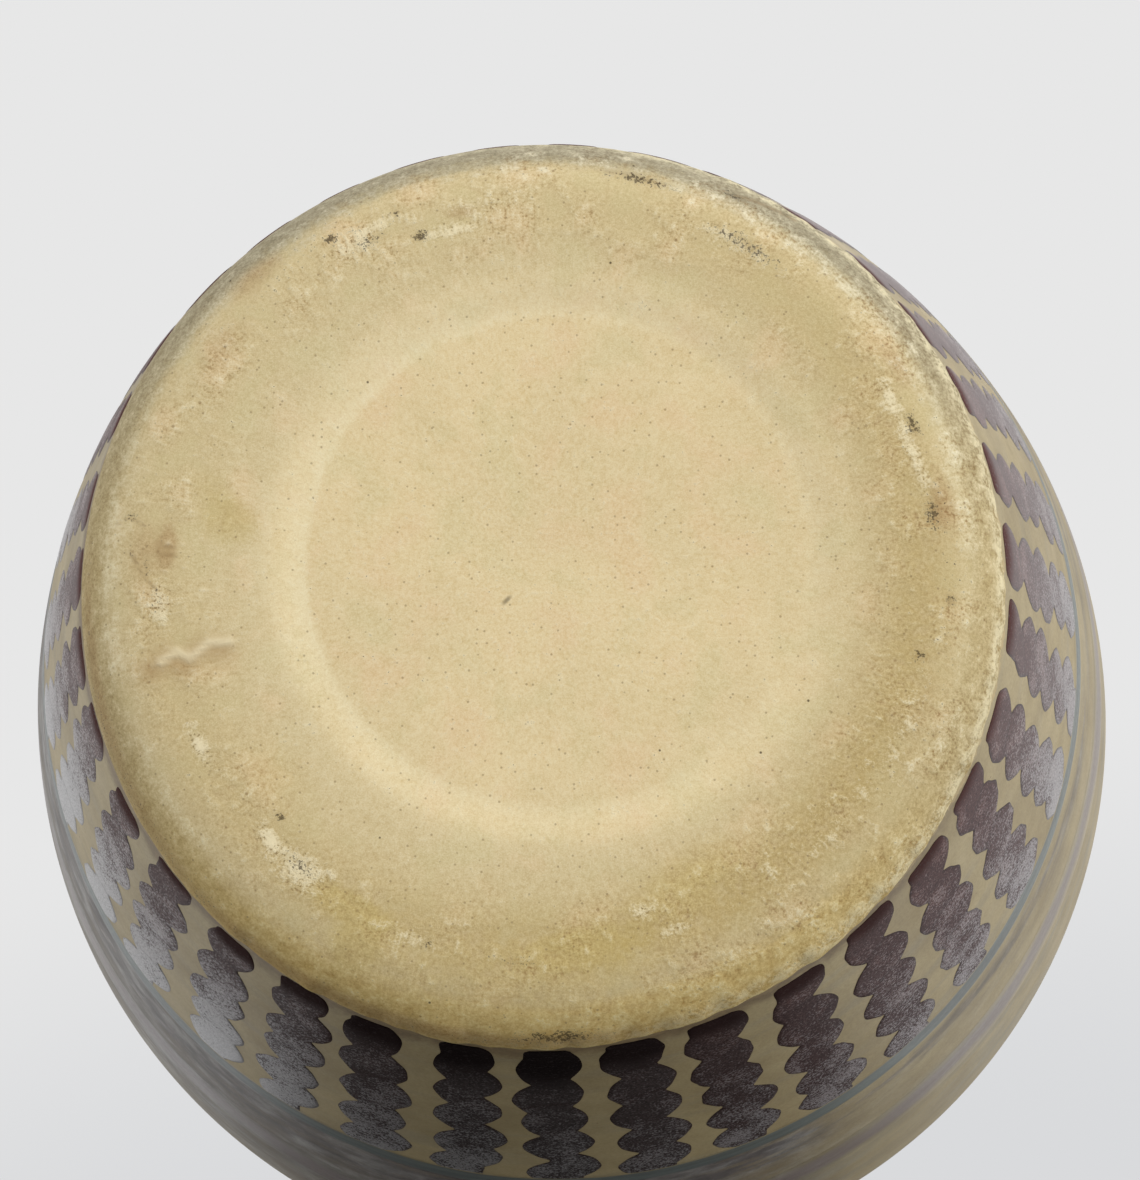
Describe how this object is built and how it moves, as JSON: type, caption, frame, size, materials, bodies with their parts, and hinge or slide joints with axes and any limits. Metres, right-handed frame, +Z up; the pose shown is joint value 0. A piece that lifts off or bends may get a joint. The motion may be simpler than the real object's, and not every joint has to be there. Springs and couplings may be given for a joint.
{
  "type": "stoneware vase",
  "caption": "Ovoid stoneware vase with a flat turned foot, satin glaze and brushed columns of dark dabs round the lower wall; stands and holds cut flowers.",
  "frame": {"origin": "middle of the foot, on the plane of the ring that the vase stands on", "axes": "+Z up along the axis of the vase towards its mouth; +Y towards the side of the wall that the picture shows most of"},
  "size_m": [0.1872, 0.1872, 0.2139],
  "materials": {
    "clay": "bare fired stoneware, buff, finely speckled, dry and slightly rough",
    "glaze": "satin tan-olive glaze over stoneware",
    "lining": "the same glaze inside, a guess",
    "slip": "dark purple-brown iron slip with a grey metallic sheen",
    "line": "thin blue-grey banded line",
    "streak": "smeared purple-grey banded streak"
  },
  "bodies": {
    "root": {"body": "clay", "outer_glaze": "glaze", "inner_glaze": "lining", "ring_line": "line", "ring_streak": "streak", "dab_column_01": "slip", "dab_column_02": "slip", "dab_column_03": "slip", "dab_column_04": "slip", "dab_column_05": "slip", "dab_column_06": "slip", "dab_column_07": "slip", "dab_column_08": "slip", "dab_column_09": "slip", "dab_column_10": "slip", "dab_column_11": "slip", "dab_column_12": "slip", "dab_column_13": "slip", "dab_column_14": "slip", "dab_column_15": "slip", "dab_column_16": "slip", "dab_column_17": "slip", "dab_column_18": "slip", "dab_column_19": "slip", "dab_column_20": "slip", "dab_column_21": "slip", "dab_column_22": "slip", "dab_column_23": "slip", "dab_column_24": "slip", "dab_column_25": "slip", "dab_column_26": "slip", "dab_column_27": "slip", "dab_column_28": "slip", "dab_column_29": "slip", "dab_column_30": "slip", "dab_column_31": "slip", "dab_column_32": "slip", "dab_column_33": "slip", "dab_column_34": "slip", "dab_column_35": "slip"}
  },
  "joints": []
}
